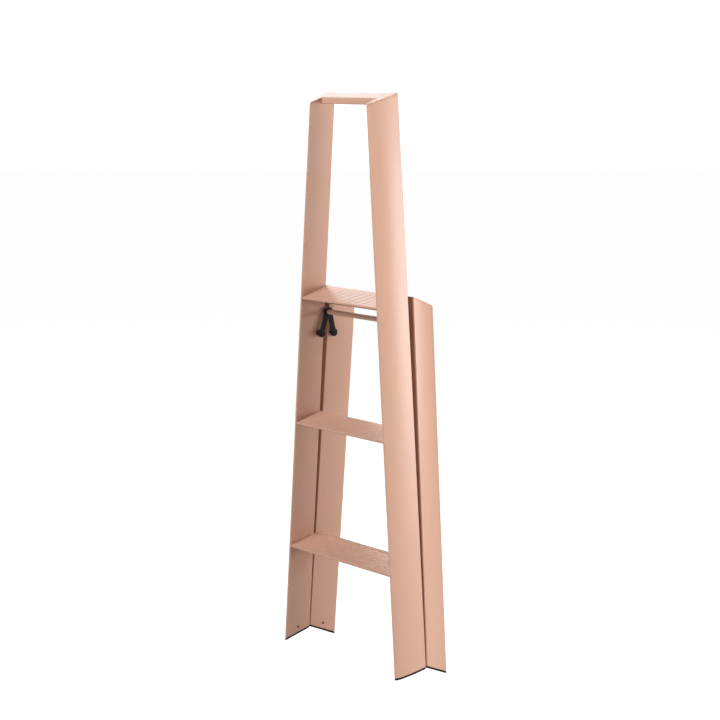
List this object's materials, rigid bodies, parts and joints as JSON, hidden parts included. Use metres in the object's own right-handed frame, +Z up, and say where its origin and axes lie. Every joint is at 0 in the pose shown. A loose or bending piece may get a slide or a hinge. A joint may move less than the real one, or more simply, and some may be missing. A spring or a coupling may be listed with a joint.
{
  "type": "step ladder",
  "caption": "Folding step ladder with blade-shaped hollow stiles, ribbed treads, a top handle, hinged rear legs and locking stays with a release rod.",
  "frame": {"origin": "centre of the bounding box at floor level, folded and standing", "axes": "+X to the climber's right, +Y to the rear (from the treads towards the rear legs), +Z up"},
  "size_m": [0.5916, 0.16, 1.4118],
  "materials": {
    "painted_aluminium": "satin salmon-beige powder coat",
    "rubber": "matt black",
    "steel": "zinc plated",
    "dark_steel": "dark bronze coating",
    "black_plastic": "fine-grained black"
  },
  "bodies": {
    "front_frame": {"right_front_stile": "painted_aluminium", "left_front_stile": "painted_aluminium", "right_stile_cap": "painted_aluminium", "left_stile_cap": "painted_aluminium", "right_front_foot": "rubber", "left_front_foot": "rubber", "right_front_foot_screw": "dark_steel", "left_front_foot_screw": "dark_steel", "top_handle": "painted_aluminium", "right_handle_plug": "steel", "left_handle_plug": "steel", "bottom_tread": "painted_aluminium", "middle_tread": "painted_aluminium", "top_tread": "painted_aluminium", "right_bottom_tread_bracket": "steel", "left_bottom_tread_bracket": "steel", "right_bottom_tread_rivet": "steel", "left_bottom_tread_rivet": "steel", "right_middle_tread_bracket": "steel", "left_middle_tread_bracket": "steel", "right_middle_tread_rivet": "steel", "left_middle_tread_rivet": "steel", "right_top_tread_bracket": "steel", "left_top_tread_bracket": "steel", "right_top_tread_rivet": "steel", "left_top_tread_rivet": "steel", "right_hinge_bracket": "dark_steel", "left_hinge_bracket": "dark_steel", "right_hinge_rivet_upper": "steel", "left_hinge_rivet_upper": "steel", "right_hinge_rivet_lower": "steel", "left_hinge_rivet_lower": "steel", "right_hinge_pin": "steel", "left_hinge_pin": "steel", "right_stay_front_pivot": "black_plastic", "left_stay_front_pivot": "black_plastic"},
    "rear_frame": {"right_rear_leg": "painted_aluminium", "left_rear_leg": "painted_aluminium", "right_leg_cap": "painted_aluminium", "left_leg_cap": "painted_aluminium", "right_rear_foot": "rubber", "left_rear_foot": "rubber", "right_rear_foot_screw": "dark_steel", "left_rear_foot_screw": "dark_steel", "right_leg_hinge_plate": "dark_steel", "left_leg_hinge_plate": "dark_steel", "right_leg_plate_rivet": "steel", "left_leg_plate_rivet": "steel", "right_brace_stud": "steel", "left_brace_stud": "steel", "right_stay_rear_pivot": "black_plastic", "left_stay_rear_pivot": "black_plastic", "lower_rear_brace": "painted_aluminium", "upper_rear_brace": "painted_aluminium"},
    "release_bar": {"right_stay_front_link": "black_plastic", "left_stay_front_link": "black_plastic", "release_rod": "painted_aluminium"},
    "right_rear_stay": {"right_stay_rear_link": "black_plastic"},
    "left_rear_stay": {"left_stay_rear_link": "black_plastic"}
  },
  "joints": [
    {"name": "fold", "type": "hinge", "parent": "front_frame", "child": "rear_frame", "pos_m": [0, -0.01098, 0.90896], "axis": [1, 0, 0], "range_deg": [0, 41.47]},
    {"name": "front_stay_swing", "type": "hinge", "parent": "front_frame", "child": "release_bar", "pos_m": [0, -0.02521, 0.80296], "axis": [1, 0, 0], "range_deg": [-58.15, 0]},
    {"name": "right_rear_stay_swing", "type": "hinge", "parent": "rear_frame", "child": "right_rear_stay", "pos_m": [0.173, 0.01412, 0.80296], "axis": [1, 0, 0], "range_deg": [0, 62.09]},
    {"name": "left_rear_stay_swing", "type": "hinge", "parent": "rear_frame", "child": "left_rear_stay", "pos_m": [-0.173, 0.01412, 0.80296], "axis": [1, 0, 0], "range_deg": [0, 62.09]}
  ],
  "couplings": [
    {"joint": "front_stay_swing", "follows": "fold", "ratio": -1.4009},
    {"joint": "right_rear_stay_swing", "follows": "fold", "ratio": 1.496},
    {"joint": "left_rear_stay_swing", "follows": "fold", "ratio": 1.496}
  ]
}
